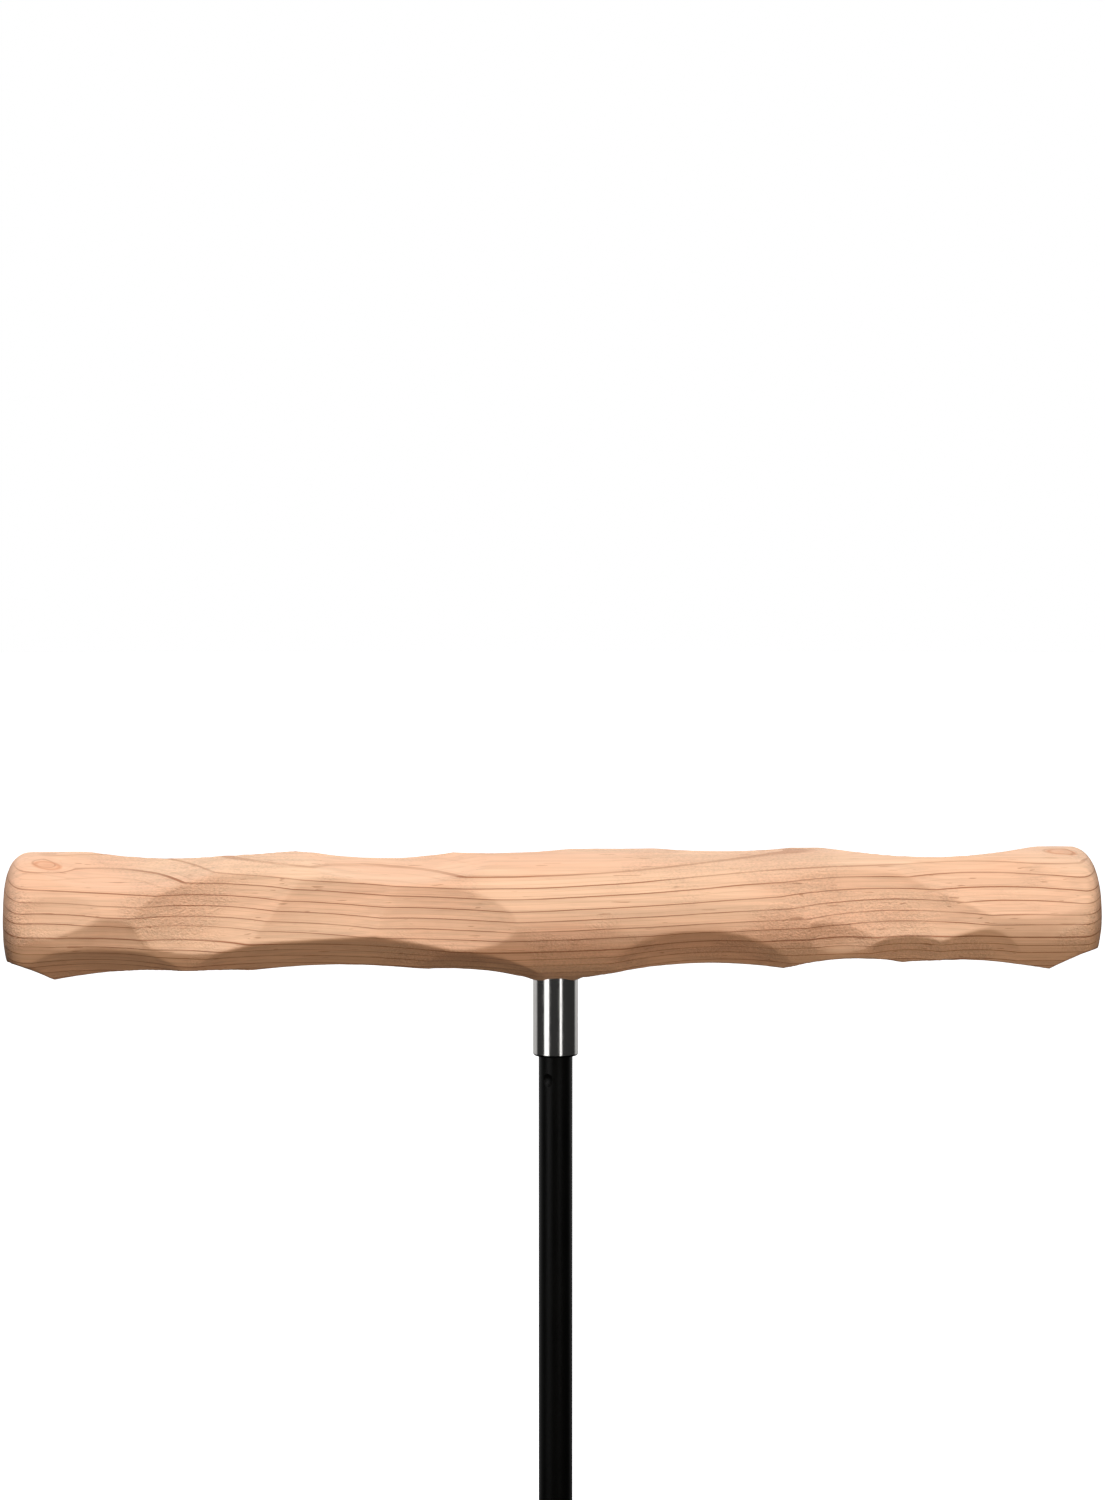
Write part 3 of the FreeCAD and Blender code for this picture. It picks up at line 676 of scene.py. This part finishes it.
class BIRDSTAND_OT_perch(bpy.types.Operator):
    """Draw a fine skin onto the carved perch and give it bare softwood"""
    bl_idname = "birdstand.perch"
    bl_label = "Carved perch"

    def execute(self, context):
        piece = perch_skin(context.scene.perch_look)
        stand_for(piece, "perch", "perch_head", "carved_softwood")
        return {"FINISHED"}


class BIRDSTAND_OT_bars(bpy.types.Operator):
    """Ease the edges of the two folding base bars and coat them black"""
    bl_idname = "birdstand.bars"
    bl_label = "Base bars"

    def execute(self, context):
        edge = context.scene.metal_look.bar_edge
        for node, body in (("upper_base_bar", "stand"), ("lower_base_bar", "base_swing")):
            piece = eased_bar(node, node + "_eased", edge)
            stand_for(piece, node, body, "base_black")
        return {"FINISHED"}


class BIRDSTAND_OT_feet(bpy.types.Operator):
    """Groove the soles of the rubber feet and give them matt rubber"""
    bl_idname = "birdstand.feet"
    bl_label = "Rubber feet"

    def execute(self, context):
        look = context.scene.metal_look
        for node, body in (("upper_bar_feet", "stand"), ("lower_bar_feet", "base_swing")):
            piece = treaded_feet(node, node + "_treaded", look)
            stand_for(piece, node, body, "foot_rubber")
        return {"FINISHED"}


class BIRDSTAND_OT_finishes(bpy.types.Operator):
    """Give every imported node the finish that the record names"""
    bl_idname = "birdstand.finishes"
    bl_label = "Metal and plastic finishes"

    def execute(self, context):
        for part in frame["record"]["subparts"]:
            node = frame["nodes"][part["node"]]
            node.data.materials.clear()
            node.data.materials.append(finish_for(part["material_slot"]))
        return {"FINISHED"}


# Stage

def build_floor(look):
    """A round pale floor that turns to plain white away from the stand."""
    bpy.ops.object.select_all(action="DESELECT")
    bpy.ops.mesh.primitive_circle_add(vertices=FLOOR_SIDES, radius=look.floor_radius, fill_type="NGON")
    floor = bpy.context.object
    floor.name = "floor"
    material, tree, shader = new_material("pale_floor")
    point = place_of(tree)
    mottle = noise(tree, point, 3.0, 2.0)
    grey = look.floor_grey
    tone = tint(tree, mottle, (grey, grey, grey), (grey * 0.97, grey * 0.97, grey * 0.98))
    white = between(tree, distance_of(tree, point), FLOOR_GREY_TO, FLOOR_WHITE_FROM, 0.0, 1.0)
    join(tree, shader, base_color=tone, roughness=0.9, emission_color=(1, 1, 1, 1),
         emission_strength=white, specular_ior_level=0.1)
    floor.data.materials.append(material)
    floor.visible_diffuse = False
    floor.visible_glossy = False


def build_world(look):
    """White surroundings behind the stand, dim ones in front and dark ones below."""
    world = bpy.data.worlds.new("studio")
    bpy.context.scene.world = world
    world.use_nodes = True
    tree = world.node_tree
    tree.nodes.clear()
    aim = put(tree, "SeparateXYZ", {0: put(tree, "TexCoord").outputs["Generated"]}).outputs
    behind = between(tree, aim["Y"], *BACKDROP_EDGE, 0.0, look.backdrop_glow - look.fill_glow)
    above = between(tree, aim["Z"], *GROUND_EDGE)
    glow = work_out(tree, "MULTIPLY", work_out(tree, "ADD", behind, look.fill_glow), above)
    ambient = put(tree, "Background", {"Color": glow})
    white = put(tree, "Background", {"Color": (1, 1, 1, 1)})
    seen = put(tree, "LightPath").outputs["Is Camera Ray"]
    mixed = put(tree, "MixShader", {0: seen, 1: ambient.outputs[0], 2: white.outputs[0]})
    output = tree.nodes.new("ShaderNodeOutputWorld")
    tree.links.new(mixed.outputs[0], output.inputs["Surface"])


def add_soft_light(name, offset, size, watts, aim_rise=0.0):
    """A soft rectangular light that shines on the pole's axis near the perch and isn't seen itself."""
    middle = PERCH_CENTRE.z
    place = Vector((offset[0], offset[1], middle + offset[2]))
    target = Vector((0, 0, middle + aim_rise))
    bpy.ops.object.select_all(action="DESELECT")
    bpy.ops.object.light_add(type="AREA", location=place)
    lamp = bpy.context.object
    lamp.name = name
    lamp.data.shape = "RECTANGLE"
    lamp.data.size, lamp.data.size_y = size
    lamp.data.energy = watts
    lamp.rotation_euler = (target - place).to_track_quat("-Z", "Y").to_euler()
    lamp.visible_camera = False
    return lamp


def build_lights(look):
    """A soft key above the front, a broad fill, and two tall strips that the polished ferrule reflects."""
    key = add_soft_light("key", KEY_PLACE, KEY_SIZE, look.key_power)
    key.data.color = look.key_tone
    key.visible_glossy = False
    fill = add_soft_light("fill", FILL_PLACE, FILL_SIZE, look.fill_power)
    fill.data.color = look.fill_tone
    fill.visible_glossy = False
    for name, turn, spread in STRIPS:
        bearing = math.radians(turn)
        offset = (STRIP_DISTANCE * math.sin(bearing), -STRIP_DISTANCE * math.cos(bearing), STRIP_RISE)
        width = 2 * STRIP_DISTANCE * math.tan(math.radians(spread / 2))
        watts = look.strip_glow * math.pi * width * STRIP_HEIGHT
        strip = add_soft_light(name, offset, (width, STRIP_HEIGHT), watts, STRIP_RISE)
        strip.visible_diffuse = False


def build_camera(look):
    """The camera a little above the perch, looking a little down."""
    reach = look.camera_distance
    orbit = look.camera_orbit
    height = PERCH_CENTRE.z + look.camera_rise
    place = (-reach * math.sin(orbit), -reach * math.cos(orbit), height)
    turn = (math.pi / 2 - look.camera_pitch, look.camera_roll, look.camera_yaw - orbit)
    bpy.ops.object.camera_add(location=place, rotation=turn)
    camera = bpy.context.object
    camera.data.sensor_width = SENSOR_WIDTH
    camera.data.lens = look.camera_lens
    camera.data.clip_end = FARTHEST_SEEN
    bpy.context.scene.camera = camera


class BIRDSTAND_OT_stage(bpy.types.Operator):
    """Set up the pale floor, the soft light and the camera"""
    bl_idname = "birdstand.stage"
    bl_label = "Studio"

    def execute(self, context):
        look = context.scene.stage_look
        build_floor(look)
        build_world(look)
        build_lights(look)
        build_camera(look)
        context.scene.view_settings.view_transform = "Standard"
        return {"FINISHED"}


OPERATORS = (
    BIRDSTAND_OT_perch,
    BIRDSTAND_OT_bars,
    BIRDSTAND_OT_feet,
    BIRDSTAND_OT_finishes,
    BIRDSTAND_OT_stage,
)


class BIRDSTAND_PT_sidebar(bpy.types.Panel):
    """The stand's operators and their sizes and colours"""
    bl_idname = "BIRDSTAND_PT_sidebar"
    bl_label = "Bird T-stand"
    bl_space_type = "VIEW_3D"
    bl_region_type = "UI"
    bl_category = "Bird stand"

    def draw(self, context):
        for operator in OPERATORS:
            self.layout.operator(operator.bl_idname)
        for look in (context.scene.perch_look, context.scene.metal_look, context.scene.stage_look):
            box = self.layout.box()
            for key in look.bl_rna.properties.keys():
                if key not in ("rna_type", "name"):
                    box.prop(look, key)


GROUPS = {"perch_look": PerchLook, "metal_look": MetalLook, "stage_look": StageLook}


def register():
    """Make the sizes, operators and panel known to Blender."""
    for name, group in GROUPS.items():
        bpy.utils.register_class(group)
        setattr(bpy.types.Scene, name, bpy.props.PointerProperty(type=group))
    for kind in (*OPERATORS, BIRDSTAND_PT_sidebar):
        bpy.utils.register_class(kind)


def unregister():
    """Take the panel, operators and sizes out of Blender again."""
    for kind in reversed((*OPERATORS, BIRDSTAND_PT_sidebar)):
        bpy.utils.unregister_class(kind)
    for name, group in GROUPS.items():
        delattr(bpy.types.Scene, name)
        bpy.utils.unregister_class(group)


def main():
    """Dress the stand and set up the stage."""
    register()
    bpy.ops.birdstand.perch()
    bpy.ops.birdstand.bars()
    bpy.ops.birdstand.feet()
    bpy.ops.birdstand.finishes()
    bpy.ops.birdstand.stage()


if __name__ == "__main__":
    main()
